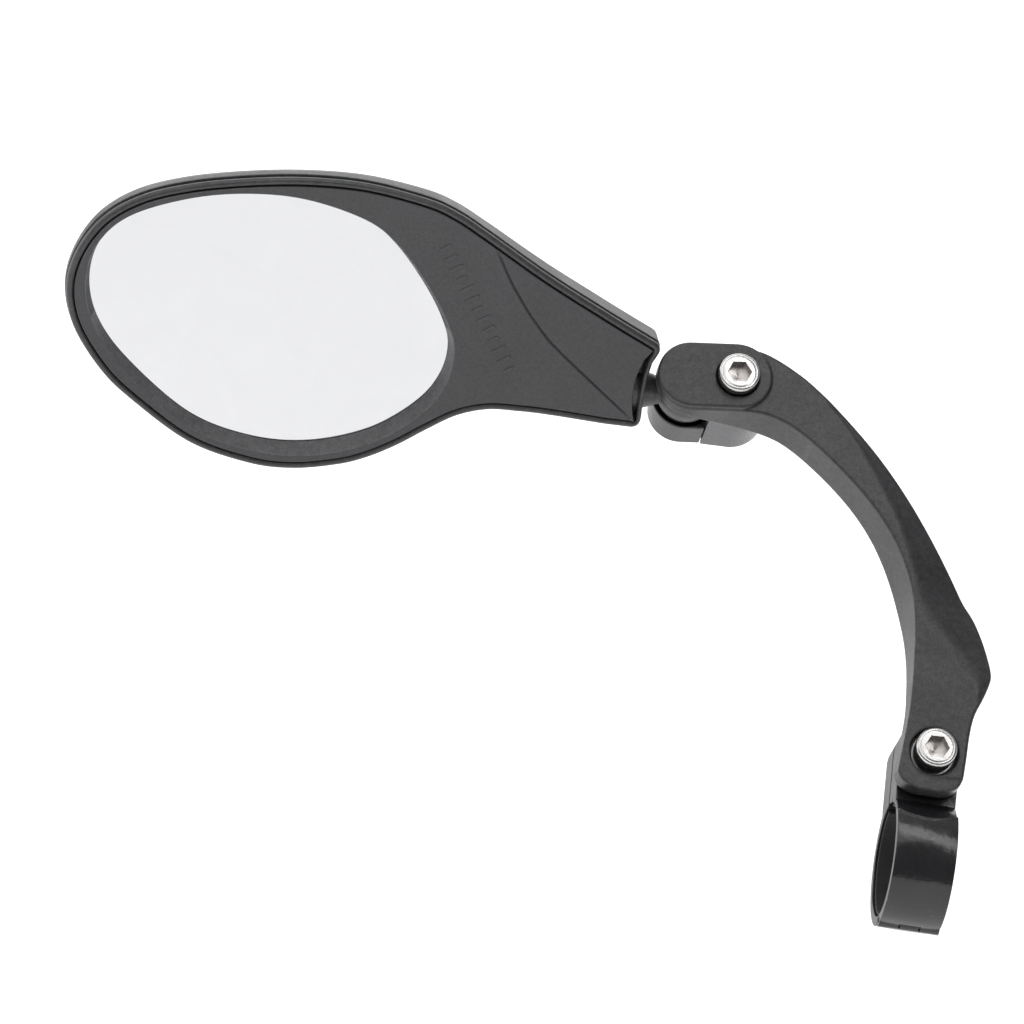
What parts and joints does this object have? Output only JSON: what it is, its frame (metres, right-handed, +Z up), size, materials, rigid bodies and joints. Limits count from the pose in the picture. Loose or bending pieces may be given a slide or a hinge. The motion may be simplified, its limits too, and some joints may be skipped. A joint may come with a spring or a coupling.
{
  "type": "bicycle handlebar mirror",
  "caption": "Left-hand bicycle mirror: wide teardrop mirror head on a ball joint, curved swinging arm and a hinged split clamp that grips a handlebar.",
  "frame": {"origin": "on the axis of the handlebar, at the middle of the clamp's width", "axes": "+X along the handlebar towards the rider's right, +Y forwards along the bicycle, +Z up; the mirror faces -Y and the arm leans 45 degrees forwards"},
  "size_m": [0.2018, 0.0923, 0.126],
  "materials": {
    "clamp_paint": "gloss black",
    "liner_rubber": "matte black",
    "washer_steel": "zinc plated",
    "bright_steel": "bright nickel plated",
    "nylon": "smooth black nylon",
    "arm_plastic": "fine-grained dark grey",
    "housing_plastic": "fine-grained dark grey",
    "panel_plastic": "fine-grained dark grey",
    "mirror_glass": "polished",
    "pad_foam": "matte black foam"
  },
  "bodies": {
    "clamp": {"clamp_front_half": "clamp_paint", "bar_liner_front": "liner_rubber", "clamp_hinge_pin": "washer_steel"},
    "clamp_rear": {"clamp_rear_half": "clamp_paint", "bar_liner_rear": "liner_rubber", "lower_nut": "bright_steel"},
    "lower_screw": {"lower_bolt": "bright_steel"},
    "arm": {"arm": "arm_plastic", "upper_flat_washer": "washer_steel", "lower_flat_washer": "washer_steel", "swivel_washer": "nylon"},
    "upper_screw": {"upper_bolt": "bright_steel"},
    "jaw": {"lower_jaw": "arm_plastic", "upper_nut": "bright_steel"},
    "yaw_seat": {"ball_seat_upper": "nylon"},
    "pitch_seat": {"ball_seat_lower": "nylon"},
    "head": {"rear_housing": "housing_plastic", "front_bezel": "panel_plastic", "mirror_lens": "mirror_glass", "lens_adhesive_pad": "pad_foam"}
  },
  "joints": [
    {"name": "arm_swing", "type": "hinge", "parent": "clamp", "child": "arm", "pos_m": [0, 0.01435, 0.01435], "axis": [0, -0.7071, 0.7071], "range_deg": [-60, 60]},
    {"name": "lower_screw_turn", "type": "hinge", "parent": "clamp", "child": "lower_screw", "pos_m": [0, 0.01435, 0.01435], "axis": [0, -0.7071, 0.7071], "range_deg": [0, 360]},
    {"name": "clamp_open", "type": "hinge", "parent": "clamp", "child": "clamp_rear", "pos_m": [0, -0.0093, -0.0093], "axis": [-1, 0, 0], "range_deg": [0, 1.5]},
    {"name": "upper_screw_turn", "type": "hinge", "parent": "arm", "child": "upper_screw", "pos_m": [-0.0488, 0.06429, 0.07207], "axis": [0, -0.7071, 0.7071], "range_deg": [0, 360]},
    {"name": "jaw_release", "type": "slide", "parent": "arm", "child": "jaw", "axis": [0, 0.7071, -0.7071], "range_m": [0, 0.0008]},
    {"name": "head_yaw", "type": "hinge", "parent": "arm", "child": "yaw_seat", "pos_m": [-0.0583, 0.06343, 0.07121], "axis": [0, -0.7071, 0.7071], "range_deg": [-50, 50]},
    {"name": "head_pitch", "type": "hinge", "parent": "yaw_seat", "child": "pitch_seat", "pos_m": [-0.0583, 0.06343, 0.07121], "axis": [0.1225, -0.7018, -0.7018], "range_deg": [-5, 3]},
    {"name": "head_roll", "type": "hinge", "parent": "pitch_seat", "child": "head", "pos_m": [-0.0583, 0.06343, 0.07121], "axis": [-0.9916, -0.1162, -0.0569], "continuous": true}
  ],
  "couplings": [
    {"joint": "upper_screw_turn", "follows": "jaw_release", "rad_per_m": 7854},
    {"joint": "clamp_open", "follows": "lower_screw_turn", "ratio": 0.0038}
  ]
}
